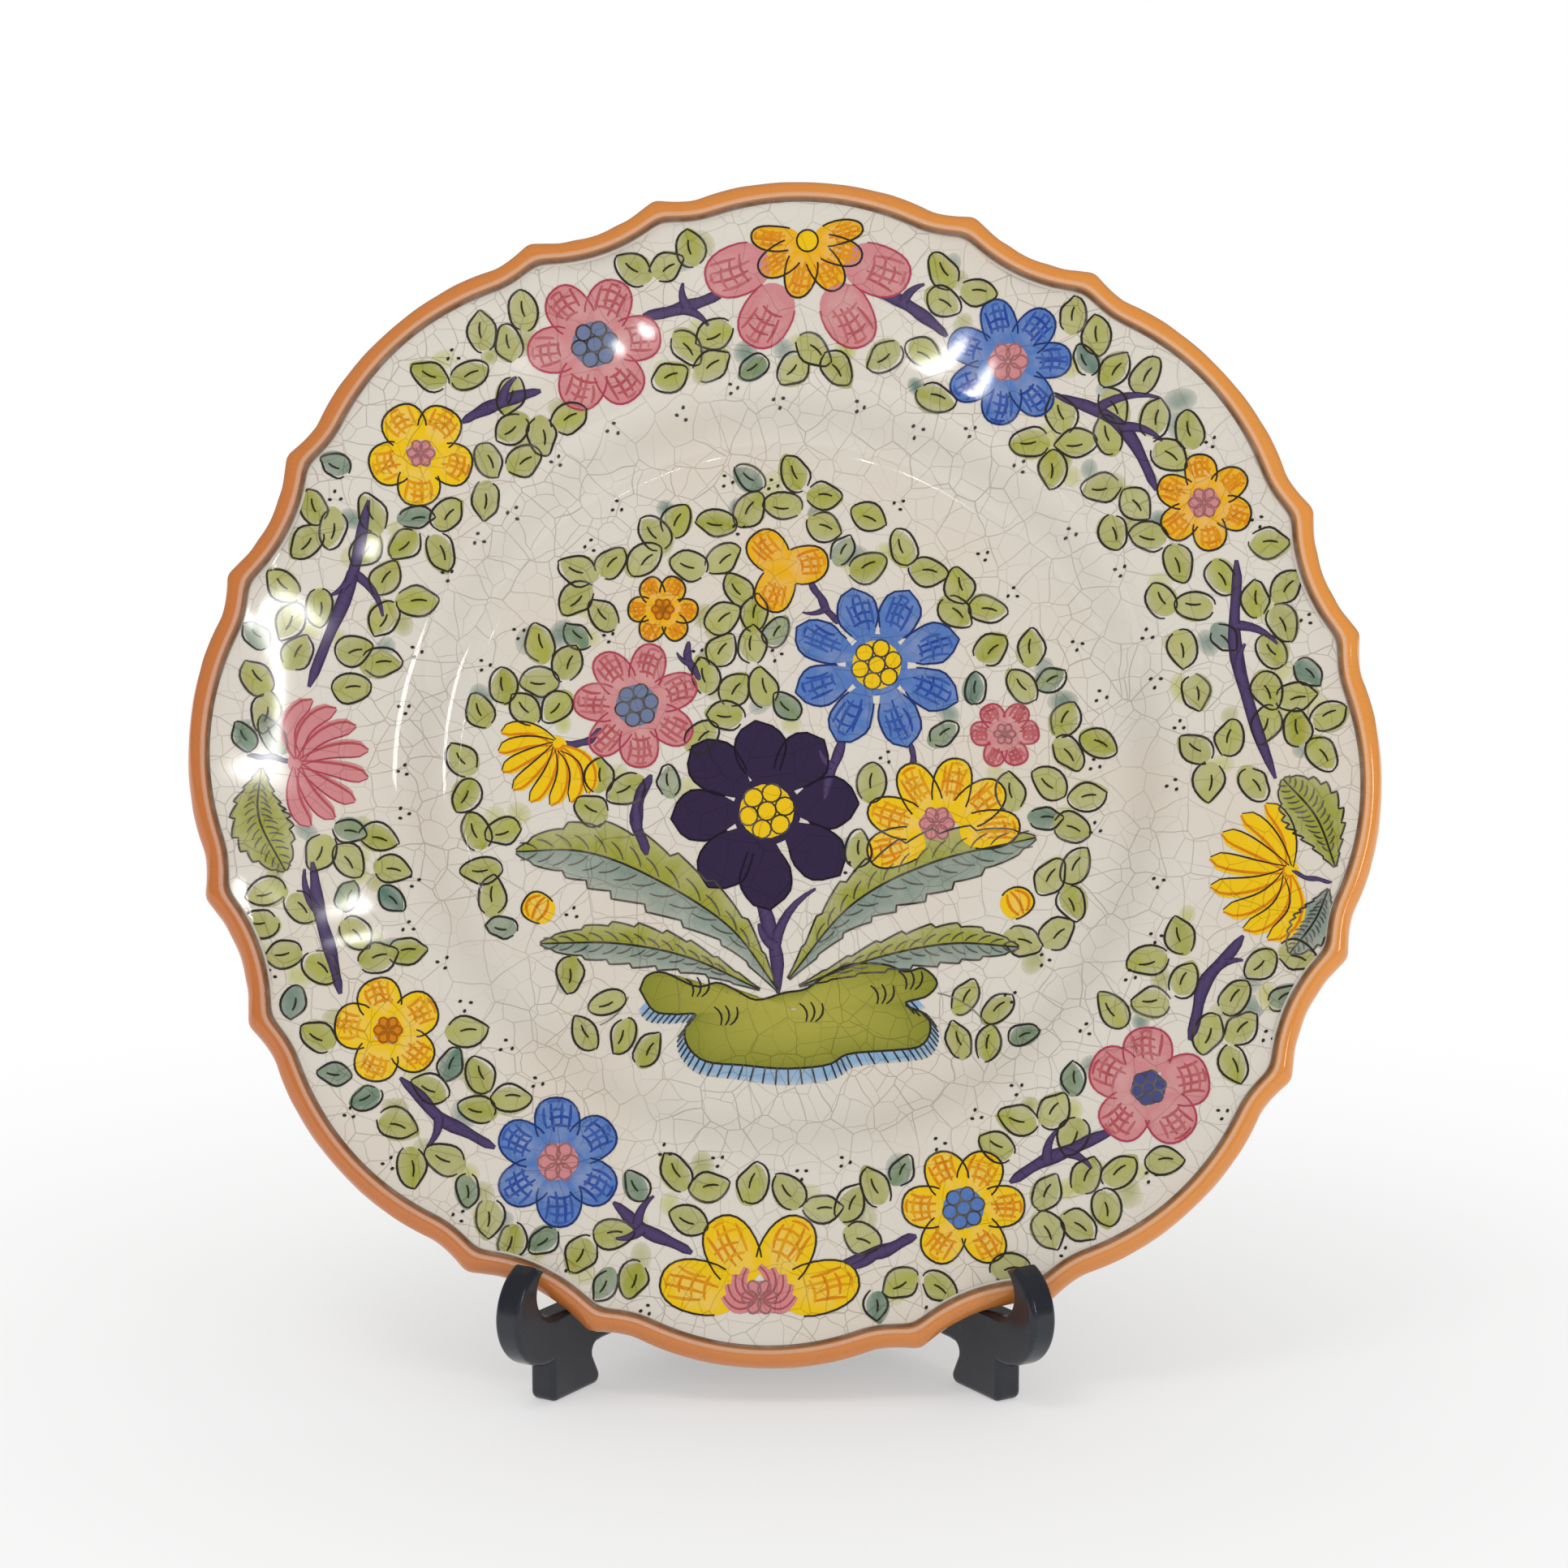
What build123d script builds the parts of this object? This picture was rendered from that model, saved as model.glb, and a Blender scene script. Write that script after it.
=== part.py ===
from build123d import *
import os
from math import cos, radians, sin, tan

# A glazed earthenware plate with a bracket-shaped edge, leaning in a folding display stand.
# Millimetres. +X is to the viewer's right, the plate faces -Y, +Z is up.
# The origin is on the table, under the middle of the plate and its stand.

# --- Plate: outline -------------------------------------------------------------------------
lobe_count = 8
crest_radius = 165.0        # widest reach of each broad lobe
lobe_joint_radius = 161.6   # where a lobe turns into the hollow beside its cusp
cusp_radius = 164.6         # the two small points on either side of a valley, before rounding
valley_radius = 158.7       # bottom of the notch between two lobes
lobe_joint_angle = 11.5     # degrees from the lobe's crest
cusp_angle = 16.0           # degrees from the lobe's crest
cusp_rounding = 5.0
first_crest_angle = 42.0    # degrees from +X: the plate stands a few degrees off symmetric

# --- Plate: section -------------------------------------------------------------------------
well_depth = 20.8           # from the top of the lip down to the well's floor
floor_radius = 90.0
cavetto_radius = 14.0       # hollow curve at the foot of the well's wall
shoulder_radius = 20.0      # round curve where the wall turns into the flange
cavetto_angle = 50.0        # steepest slope of the well's wall
flange_angle = 9.0          # slope of the flange
flange_length = 60.0        # runs past the edge, which is then cut to the outline
wall = 5.2
glaze = 0.8
lip_width = 6.5
lip_height = 7.8
lip_rounding = 4.2          # broad outer curve of the lip's front
lip_back_rounding = 2.6
lip_inner_rounding = 1.0
foot_ring_inner_radius = 78.5
foot_ring_outer_radius = 85.0
foot_ring_height = 5.0
foot_ring_rounding = 1.5

# --- Stand ----------------------------------------------------------------------------------
hinge_x = -2.5              # the stand isn't quite central under the plate
hinge_y = 51.5
half_spread = 32.0          # degrees between each leg and the line straight ahead
leg_thickness = 8.0
leg_gap = 0.7               # from each leg's inner face to the hinge's middle plane
leg_edge_rounding = 1.6
leg_reach = 112.5           # hinge axis to the front of the foot
foot_length = 24.0
foot_height = 11.4
waist_depth = 6.0           # how far the hollow behind a foot cuts under it
arm_underside = 12.0
arm_top = 24.6
hook_reach = 16.2           # how far the hook stands out in front of the foot
hook_reach_height = 27.4
hook_tip_forward = 6.8
hook_tip_height = 40.0
notch_radius = 7.2
notch_sweep = 152.0         # degrees of arc, from the seat up to the hook's tip
notch_forward = -0.8        # middle of the notch, measured from the foot's face
post_height = 135.5
post_width = 13.0           # of the leaning front bar and of the hinge's column
column_height = 111.5
window_floor = 37.5         # the open window between arm, bar and column
window_top = 99.5
window_slant = 9.0
window_rounding = 6.0
post_rear = 6.2             # rear edge of the post, clear of the other leg's knuckles
post_contact_reach = 55.0   # hinge axis to the post's front edge at post_contact_height
post_contact_height = 83.5
post_rounding = 18.0        # hollow between arm and post
post_top_rounding = 3.0
sole_rounding = 2.4
waist_rounding = 2.4
rear_foot_length = 22.0

# --- Hinge ----------------------------------------------------------------------------------
knuckle_radius = 5.2
knuckle_length = 16.0
knuckle_gap = 0.4
knuckle_base = 25.0
knuckle_count = 5
pin_radius = 2.0
pin_clearance = 0.04
pin_head_radius = 3.8
pin_head_height = 1.8

# --- Fit of plate in stand ------------------------------------------------------------------
plate_tilt = 16.0           # degrees back from upright
plate_height = 169.5        # the plate's centre, in the plane of the lip's top
rest_clearance = 0.25       # between the foot ring's plane and the posts

tilt = radians(plate_tilt)
spread = radians(half_spread)

# The posts' inner edges lie in one plane, parallel to the foot ring. Being rounded, they fall
# short of the sharp corner that the plane is drawn through.
edge_relief = 0.36 * leg_edge_rounding
foot_ring_depth = well_depth + wall + foot_ring_height
post_edge_y = hinge_y - post_contact_reach * cos(spread) + leg_gap * sin(spread)
lip_plane_y = post_edge_y - (foot_ring_depth + rest_clearance - edge_relief) / cos(tilt)
plate_y = lip_plane_y + (plate_height - post_contact_height) * tan(tilt)

plate_centre = (0, plate_y, plate_height)
plate_front = (0, -cos(tilt), sin(tilt))
plate_plane = Plane(origin=plate_centre, x_dir=(1, 0, 0), z_dir=plate_front)
section_plane = Plane(origin=plate_centre, x_dir=(1, 0, 0), z_dir=(0, -sin(tilt), -cos(tilt)))
plate_axis = Axis(plate_centre, plate_front)


def polar(radius, angle):
    return (radius * cos(radians(angle)), radius * sin(radians(angle)))


def scalloped_face(inset):
    """The plate's outline as a face, moved inward by inset."""
    with BuildSketch() as outline:
        with BuildLine():
            for lobe in range(lobe_count):
                crest = first_crest_angle + lobe * 360 / lobe_count
                next_crest = crest + 360 / lobe_count
                joint_before = polar(lobe_joint_radius, crest - lobe_joint_angle)
                joint_after = polar(lobe_joint_radius, crest + lobe_joint_angle)
                cusp_before = polar(cusp_radius, crest - cusp_angle)
                cusp_after = polar(cusp_radius, crest + cusp_angle)
                next_cusp = polar(cusp_radius, next_crest - cusp_angle)
                valley = polar(valley_radius, (crest + next_crest) / 2)
                broad = ThreePointArc(joint_before, polar(crest_radius, crest), joint_after)
                TangentArc(joint_before, cusp_before, tangent=-(broad % 0))
                TangentArc(joint_after, cusp_after, tangent=broad % 1)
                ThreePointArc(cusp_after, valley, next_cusp)
        make_face()
        if inset:
            offset(amount=-inset, kind=Kind.INTERSECTION)
        cusps = outline.vertices().sort_by(lambda v: Vector(*v).length)[-2 * lobe_count :]
        fillet(cusps, radius=cusp_rounding)
    return outline.sketch


def dish_curve(depth):
    """Section of the dish at this depth below its glazed front, from the axis past the edge."""
    level = -well_depth - depth
    floor = Line((0, level), (floor_radius, level))
    hollow = JernArc(floor @ 1, floor % 1, cavetto_radius + depth, cavetto_angle)
    shoulder = JernArc(hollow @ 1, hollow % 1, shoulder_radius - depth, flange_angle - cavetto_angle)
    flange = PolarLine(shoulder @ 1, flange_length, direction=shoulder % 1)
    return floor @ 0, flange @ 1


def dish_layer(upper_depth, lower_depth):
    """One layer of the dish, revolved, between two depths below the glazed front."""
    with BuildPart() as layer:
        with BuildSketch(section_plane):
            with BuildLine():
                upper_axis, upper_edge = dish_curve(upper_depth)
                lower_axis, lower_edge = dish_curve(lower_depth)
                Line(upper_axis, lower_axis)
                Line(upper_edge, lower_edge)
            make_face()
        revolve(axis=plate_axis)
    return layer.part


def lip_ring(skin):
    """The raised lip, with its surface moved inward by skin on every side."""
    outer_face = scalloped_face(skin)
    inner_face = scalloped_face(lip_width - skin)
    with BuildPart() as ring:
        with BuildSketch(plate_plane.offset(-lip_height + skin)):
            add(outer_face)
            add(inner_face, mode=Mode.SUBTRACT)
        extrude(amount=lip_height - 2 * skin)
        top = ring.faces().sort_by(plate_axis)[-1]
        bottom = ring.faces().sort_by(plate_axis)[0]
        fillet(top.outer_wire().edges(), radius=lip_rounding - skin)
        fillet(bottom.outer_wire().edges(), radius=lip_back_rounding - skin)
        rounded_top = ring.faces().filter_by(plate_axis).sort_by(plate_axis)[-1]
        fillet(rounded_top.inner_wires()[0].edges(), radius=lip_inner_rounding)
    return ring.part


def outline_prism(inset):
    """The moved-in outline right through the plate's thickness, to cut layers with."""
    face = scalloped_face(inset)
    with BuildPart() as prism:
        with BuildSketch(plate_plane.offset(-foot_ring_depth)):
            add(face)
        extrude(amount=foot_ring_depth)
    return prism.part


contour_prism = outline_prism(lip_width)
biscuit_prism = outline_prism(lip_width / 2)
front_layer = dish_layer(0, glaze)
biscuit_layer = dish_layer(glaze, wall - glaze)
back_layer = dish_layer(wall - glaze, wall)
lip_core = lip_ring(glaze)
lip_surface = lip_ring(0)

# --- Foot ring under the well ---------------------------------------------------------------
with BuildPart() as foot_ring:
    with BuildSketch(section_plane):
        with Locations((foot_ring_inner_radius, -foot_ring_depth)):
            Rectangle(
                foot_ring_outer_radius - foot_ring_inner_radius,
                foot_ring_height + glaze,
                align=Align.MIN,
            )
    revolve(axis=plate_axis)
    fillet(foot_ring.edges().group_by(plate_axis)[0], radius=foot_ring_rounding)

# --- Fired clay body ------------------------------------------------------------------------
with BuildPart() as plate_body:
    add(biscuit_layer)
    add(biscuit_prism, mode=Mode.INTERSECT)
    add(lip_core)
    add(foot_ring.part)

# --- Cream glaze over the well and flange ---------------------------------------------------
with BuildPart() as front_glaze:
    add(front_layer)
    add(contour_prism, mode=Mode.INTERSECT)

# --- Cream glaze under the plate, outside and inside the bare foot ring ----------------------
with BuildPart() as back_glaze:
    add(back_layer)
    add(contour_prism, mode=Mode.INTERSECT)
    add(foot_ring.part, mode=Mode.SUBTRACT)

# --- Orange glaze wrapped round the lip -----------------------------------------------------
with BuildPart() as rim_glaze:
    add(lip_surface)
    add(plate_body.part, mode=Mode.SUBTRACT)


def leg_forward(side):
    """Unit vector from the hinge towards a leg's foot: side is -1 for left, 1 for right."""
    return (side * sin(spread), -cos(spread), 0)


def knuckle_floor(index):
    return knuckle_base + index * (knuckle_length + knuckle_gap)


def post_front(height):
    """Reach of the post's leaning front edge at this height, parallel to the foot ring."""
    lean = tan(tilt) / cos(spread)
    return post_contact_reach - (height - post_contact_height) * lean


def leg_outline():
    """Side view of a leg: x runs forward from the hinge axis, y is height above the table."""
    heel = leg_reach - foot_length
    rear_toe = post_rear + rear_foot_length
    with BuildSketch() as outline:
        with BuildLine():
            sole = Line((heel, 0), (leg_reach, 0))
            shin = Line(sole @ 1, (leg_reach, foot_height))
            hook = ThreePointArc(
                shin @ 1,
                (leg_reach + hook_reach, hook_reach_height),
                (leg_reach + hook_tip_forward, hook_tip_height),
            )
            notch_centre = (leg_reach + notch_forward, arm_top + notch_radius)
            notch = CenterArc(notch_centre, notch_radius, -90, notch_sweep)
            Line(hook @ 1, notch @ 1)
            arm = Line(notch @ 0, (post_front(arm_top), arm_top))
            Polyline(
                arm @ 1,
                (post_front(post_height), post_height),
                (post_front(post_height) - post_width, post_height),
                (post_rear, column_height),
                (post_rear, 0),
                (rear_toe, 0),
                (rear_toe - waist_depth, foot_height),
                (rear_toe, arm_underside),
                (heel, arm_underside),
                (heel + waist_depth, foot_height),
                sole @ 0,
            )
        make_face()
        corners = outline.vertices()
        fillet(corners.filter_by(lambda v: v.Y < 1), radius=sole_rounding)
        waists = [(rear_toe - waist_depth, foot_height), (heel + waist_depth, foot_height)]
        for waist in waists:
            fillet(outline.vertices().sort_by_distance(waist)[0], radius=waist_rounding)
        for hollow in [(post_front(arm_top), arm_top), (post_rear, column_height)]:
            fillet(outline.vertices().sort_by_distance(hollow)[0], radius=post_rounding)
        fillet(outline.vertices().group_by(Axis.Y)[-1], radius=post_top_rounding)
    return outline.sketch


def leg_window():
    """Opening between the arm, the leaning bar and the hinge's column."""
    rear = post_rear + post_width
    with BuildSketch() as window:
        with BuildLine():
            Polyline(
                (rear, window_floor),
                (post_front(window_floor) - post_width, window_floor),
                (post_front(window_top) - post_width, window_top),
                (rear, window_top - window_slant),
                close=True,
            )
        make_face()
        fillet(window.vertices(), radius=window_rounding)
    return window.sketch


def leg_panel(side):
    """A leg's flat moulding, rounded along all its edges, standing in its own plane."""
    forward = leg_forward(side)
    upright = Plane(origin=(hinge_x, hinge_y, 0), x_dir=forward, z_dir=(forward[1], -forward[0], 0))
    outline = leg_outline()
    window = leg_window()
    with BuildPart() as panel:
        with BuildSketch(upright.offset(-side * leg_gap)):
            add(outline)
            add(window, mode=Mode.SUBTRACT)
        extrude(amount=-side * leg_thickness)
        across = Axis((0, 0, 0), upright.z_dir)
        rims = panel.edges().filter_by(across, reverse=True)
        fillet(rims, radius=leg_edge_rounding)
    return panel.part


def leg_knuckles(side, indices):
    """Hinge knuckles of one leg, each joined to the leg's post by a short lug."""
    with BuildPart() as knuckles:
        for index in indices:
            base = Plane(origin=(hinge_x, hinge_y, knuckle_floor(index)), x_dir=leg_forward(side))
            with BuildSketch(base):
                Circle(knuckle_radius)
                with Locations((0, side * leg_gap)):
                    Rectangle(
                        post_rear + leg_edge_rounding,
                        knuckle_radius - leg_gap,
                        align=(Align.MIN, Align.MIN if side > 0 else Align.MAX),
                    )
            extrude(amount=knuckle_length)
    return knuckles.part


def hinge_bore(radius):
    """Cylinder along the hinge axis, through every knuckle."""
    with BuildPart() as bore:
        with BuildSketch(Plane(origin=(hinge_x, hinge_y, 0))):
            Circle(radius)
        extrude(amount=post_height)
    return bore.part


left_panel = leg_panel(-1)
right_panel = leg_panel(1)
left_knuckles = leg_knuckles(-1, range(0, knuckle_count, 2))
right_knuckles = leg_knuckles(1, range(1, knuckle_count, 2))
pin_hole = hinge_bore(pin_radius + pin_clearance)

# --- Left leg: foot, hook, arm, post and three hinge knuckles --------------------------------
with BuildPart() as stand_left:
    add(left_panel)
    add(left_knuckles)
    add(pin_hole, mode=Mode.SUBTRACT)

# --- Right leg: the same moulding, mirrored, with the two knuckles between -------------------
with BuildPart() as stand_right:
    add(right_panel)
    add(right_knuckles)
    add(pin_hole, mode=Mode.SUBTRACT)

# --- Hinge pin with a domed head at each end -------------------------------------------------
with BuildPart() as hinge_pin:
    pin_base = knuckle_base - knuckle_gap
    pin_top = knuckle_floor(knuckle_count - 1) + knuckle_length + knuckle_gap
    with BuildSketch(Plane(origin=(hinge_x, hinge_y, pin_base))):
        Circle(pin_radius)
    extrude(amount=pin_top - pin_base)
    with BuildSketch(Plane(origin=(hinge_x, hinge_y, pin_base - pin_head_height))):
        Circle(pin_head_radius)
    extrude(amount=pin_head_height)
    with BuildSketch(Plane(origin=(hinge_x, hinge_y, pin_top))):
        Circle(pin_head_radius)
    extrude(amount=pin_head_height)
    ends = hinge_pin.edges().group_by(Axis.Z)
    fillet(ends[0] + ends[-1], radius=pin_head_height / 2)

os.makedirs("parts", exist_ok=True)

plate_body.part.label = "plate_body"
front_glaze.part.label = "front_glaze"
back_glaze.part.label = "back_glaze"
rim_glaze.part.label = "rim_glaze"
stand_left.part.label = "stand_left"
stand_right.part.label = "stand_right"
hinge_pin.part.label = "hinge_pin"

export_step(plate_body.part, "parts/plate_body.step")
export_step(front_glaze.part, "parts/front_glaze.step")
export_step(back_glaze.part, "parts/back_glaze.step")
export_step(rim_glaze.part, "parts/rim_glaze.step")
export_step(stand_left.part, "parts/stand_left.step")
export_step(stand_right.part, "parts/stand_right.step")
export_step(hinge_pin.part, "parts/hinge_pin.step")
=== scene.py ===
import cmath
import math
import random
import bpy
import numpy as np
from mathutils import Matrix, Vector


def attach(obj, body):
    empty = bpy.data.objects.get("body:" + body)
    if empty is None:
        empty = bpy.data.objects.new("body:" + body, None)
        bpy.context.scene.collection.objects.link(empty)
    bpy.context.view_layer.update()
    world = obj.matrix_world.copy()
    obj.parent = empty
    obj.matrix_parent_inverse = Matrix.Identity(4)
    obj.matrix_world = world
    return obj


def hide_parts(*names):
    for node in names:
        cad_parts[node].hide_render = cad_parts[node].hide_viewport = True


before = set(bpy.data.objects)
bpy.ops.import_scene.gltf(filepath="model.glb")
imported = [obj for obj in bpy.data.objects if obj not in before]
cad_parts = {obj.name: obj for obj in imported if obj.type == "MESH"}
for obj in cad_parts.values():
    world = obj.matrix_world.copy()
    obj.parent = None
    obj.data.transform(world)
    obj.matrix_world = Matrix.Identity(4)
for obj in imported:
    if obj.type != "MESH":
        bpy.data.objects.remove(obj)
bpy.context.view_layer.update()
rng = random.Random(7)

# --- Plate dimensions ---
# The painting is laid out in millimetres in the plane of the lip's top: u runs to the viewer's
# right and v up the leaning plate, both from the plate's middle.
MM = 0.001
PAINTING_SCALE = 0.989      # size of the painting against its layout
PAINTING_DROP = 3.6         # how far the painting sits below the middle of the dish
TILT = math.radians(16.0)
WELL_DEPTH = 20.8
FLOOR_RADIUS = 90.0
CAVETTO_RADIUS = 14.0
SHOULDER_RADIUS = 20.0
CAVETTO_ANGLE = math.radians(50.0)
FLANGE_ANGLE = math.radians(9.0)
LIP_WIDTH = 6.5
LOBE_COUNT = 8
LOBE_TURN = 360.0 / LOBE_COUNT
FIRST_CREST = 42.0
CREST_RADIUS = 165.0
LOBE_JOINT_RADIUS = 161.6
LOBE_JOINT_ANGLE = 11.5
CUSP_RADIUS = 163.9
CUSP_ANGLE = 16.0
VALLEY_RADIUS = 158.7

RIGHT = np.array([1.0, 0.0, 0.0])
UP = np.array([0.0, math.sin(TILT), math.cos(TILT)])
FRONT = np.array([0.0, -math.cos(TILT), math.sin(TILT)])


def plate_centre():
    """Middle of the plate in the plane of its lip's top, measured from the CAD lip."""
    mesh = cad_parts["rim_glaze"].data
    flat = np.empty(len(mesh.vertices) * 3, np.float32)
    mesh.vertices.foreach_get("co", flat)
    points = flat.reshape(-1, 3).astype(float)
    centre = FRONT * (points @ FRONT).max()
    for axis in (RIGHT, UP):
        along = points @ axis
        centre += axis * (along.max() + along.min()) / 2
    return centre


CENTRE = plate_centre()

# --- The dish's surface ---
WALL_START = FLOOR_RADIUS + CAVETTO_RADIUS * math.sin(CAVETTO_ANGLE)
FLANGE_START = WALL_START + SHOULDER_RADIUS * (math.sin(CAVETTO_ANGLE) - math.sin(FLANGE_ANGLE))
FLUTE_DEPTH = 0.55
FLUTE_WIDTH = 7.0           # degrees
FLUTE_START = 116.0
FLUTE_RUN = 36.0            # from a flute's start to its full depth


def section_level(r):
    """Level of the glazed front at radius r, below the plane of the lip's top."""
    hollow_run = np.clip(r - FLOOR_RADIUS, 0, WALL_START - FLOOR_RADIUS)
    hollow = CAVETTO_RADIUS - np.sqrt(CAVETTO_RADIUS**2 - hollow_run**2)
    shoulder_run = np.clip(r - WALL_START, 0, FLANGE_START - WALL_START)
    turned = SHOULDER_RADIUS * math.sin(CAVETTO_ANGLE) - shoulder_run
    shoulder = np.sqrt(SHOULDER_RADIUS**2 - turned**2) - SHOULDER_RADIUS * math.cos(CAVETTO_ANGLE)
    flange = np.clip(r - FLANGE_START, 0, None) * math.tan(FLANGE_ANGLE)
    return -WELL_DEPTH + hollow + shoulder + flange


SECTION_STEP = 0.05
SECTION_RADII = np.arange(-20.0, 190.0, SECTION_STEP)
SOFTENING = 2.6             # how far the glaze rounds off the section's changes of curve


def softened_section():
    """The dish's section with its corners of curvature blurred."""
    reach = int(3 * SOFTENING / SECTION_STEP)
    weights = np.exp(-((np.arange(-reach, reach + 1) * SECTION_STEP / SOFTENING) ** 2) / 2)
    weights /= weights.sum()
    sharp = np.pad(section_level(np.abs(SECTION_RADII)), reach, mode="reflect", reflect_type="odd")
    return np.convolve(sharp, weights, mode="valid")


SOFT_SECTION = softened_section()


def flute_level(r, angle):
    """Shallow radial hollows in the flange, in line with the notches of the edge."""
    from_valley = (angle - FIRST_CREST) % LOBE_TURN - LOBE_TURN / 2
    reach = np.clip((r - FLUTE_START) / FLUTE_RUN, 0, 1)
    return -FLUTE_DEPTH * reach**1.5 * np.exp(-((from_valley / FLUTE_WIDTH) ** 2))


def hand_level(u, v):
    """Slight unevenness of hand-pressed ware."""
    broad = 0.10 * np.sin(u / 21.0 + 1.3) * np.cos(v / 26.0 - 0.4)
    fine = 0.030 * np.sin(u / 7.3 + v / 11.0) + 0.030 * np.cos(v / 8.1 - u / 13.0)
    return broad + fine


def front_level(u, v):
    """Level of the glazed front, with flutes and unevenness."""
    r = np.hypot(u, v)
    angle = np.degrees(np.arctan2(v, u))
    level = np.interp(r, SECTION_RADII, SOFT_SECTION)
    return level + flute_level(r, angle) + hand_level(u, v)


def front_points(u, v):
    """Points on the dish's front and the surface normals there."""
    u = np.asarray(u, float)
    v = np.asarray(v, float)
    step = 0.2
    level = front_level(u, v)
    slope_u = (front_level(u + step, v) - front_level(u - step, v)) / (2 * step)
    slope_v = (front_level(u, v + step) - front_level(u, v - step)) / (2 * step)
    normal = FRONT - slope_u[:, None] * RIGHT - slope_v[:, None] * UP
    normal /= np.linalg.norm(normal, axis=1)[:, None]
    flat = u[:, None] * RIGHT + v[:, None] * UP + level[:, None] * FRONT
    return CENTRE + flat * MM, normal


# --- The edge's outline ---
def polar(radius, degrees):
    """u and v of a place given by radius and angle."""
    angle = math.radians(degrees)
    return np.array([radius * math.cos(angle), radius * math.sin(angle)])


def arc_through(start, middle, end, count):
    """Points along the circle through three points, without the last one."""
    a, b, c = (complex(*point) for point in (start, middle, end))
    ratio = (c - a) / (b - a)
    centre = a + (b - a) * (ratio - abs(ratio) ** 2) / (2j * ratio.imag)
    turn = cmath.phase((c - centre) / (a - centre))
    points = centre + (a - centre) * np.exp(1j * turn * np.arange(count) / count)
    return np.stack([points.real, points.imag], 1)


def plate_outline():
    """Closed outline of the plate: broad lobes, each ending in two small cusps beside a notch."""
    cusp_dip = (LOBE_JOINT_RADIUS + 0.4, (LOBE_JOINT_ANGLE + CUSP_ANGLE) / 2)
    # One lobe as radius and angle from its crest: an arc's ends and middles in turn.
    half_lobe = [(LOBE_JOINT_RADIUS, LOBE_JOINT_ANGLE), cusp_dip, (CUSP_RADIUS, CUSP_ANGLE)]
    stops = [(radius, -angle) for radius, angle in half_lobe[::-1]] + [(CREST_RADIUS, 0.0)] + half_lobe
    stops += [(VALLEY_RADIUS, LOBE_TURN / 2), (CUSP_RADIUS, LOBE_TURN - CUSP_ANGLE)]
    parts = []
    for lobe in range(LOBE_COUNT):
        crest = FIRST_CREST + lobe * LOBE_TURN
        spots = [polar(radius, crest + angle) for radius, angle in stops]
        for arc, count in enumerate((16, 60, 16, 40)):
            parts.append(arc_through(*spots[2 * arc:2 * arc + 3], count))
    return np.concatenate(parts)


OUTLINE = plate_outline()
EDGE_STEPS = 960
EDGE_ANGLES = np.arange(EDGE_STEPS) * 2 * math.pi / EDGE_STEPS
TRIAL_RADII = np.linspace(146.0, 166.0, 161)


def edge_distances():
    """Distance from the outline, inward positive, for each edge angle and trial radius."""
    rows = []
    around = np.arctan2(OUTLINE[:, 1], OUTLINE[:, 0])
    limits = np.interp(EDGE_ANGLES, around, np.hypot(*OUTLINE.T), period=2 * math.pi)
    for angle, limit in zip(EDGE_ANGLES, limits):
        direction = np.array([math.cos(angle), math.sin(angle)])
        nearby = OUTLINE[OUTLINE @ direction > 120]
        trials = TRIAL_RADII[:, None, None] * direction
        distance = np.sqrt(((trials - nearby) ** 2).sum(2)).min(1)
        rows.append(np.where(TRIAL_RADII < limit, distance, -distance))
    return np.array(rows)


EDGE_DISTANCES = edge_distances()


def inset_radii(inset):
    """Radius of the curve that runs inset millimetres inside the outline, at each edge angle."""
    radii = np.array([np.interp(-inset, -row, TRIAL_RADII) for row in EDGE_DISTANCES])
    for _ in range(3 if inset < 2.5 else 8):
        radii = (np.roll(radii, 1) + 2 * radii + np.roll(radii, -1)) / 4
    return radii


# --- Materials ---
def srgb(red, green, blue):
    """An 8-bit screen colour as linear light."""
    linear = []
    for channel in (red, green, blue):
        c = channel / 255
        linear.append(c / 12.92 if c <= 0.04045 else ((c + 0.055) / 1.055) ** 2.4)
    return tuple(linear)


CREAM = srgb(224, 217, 206)
CRACK = srgb(176, 166, 156)    # what a crack leaves of the colour it crosses


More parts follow.
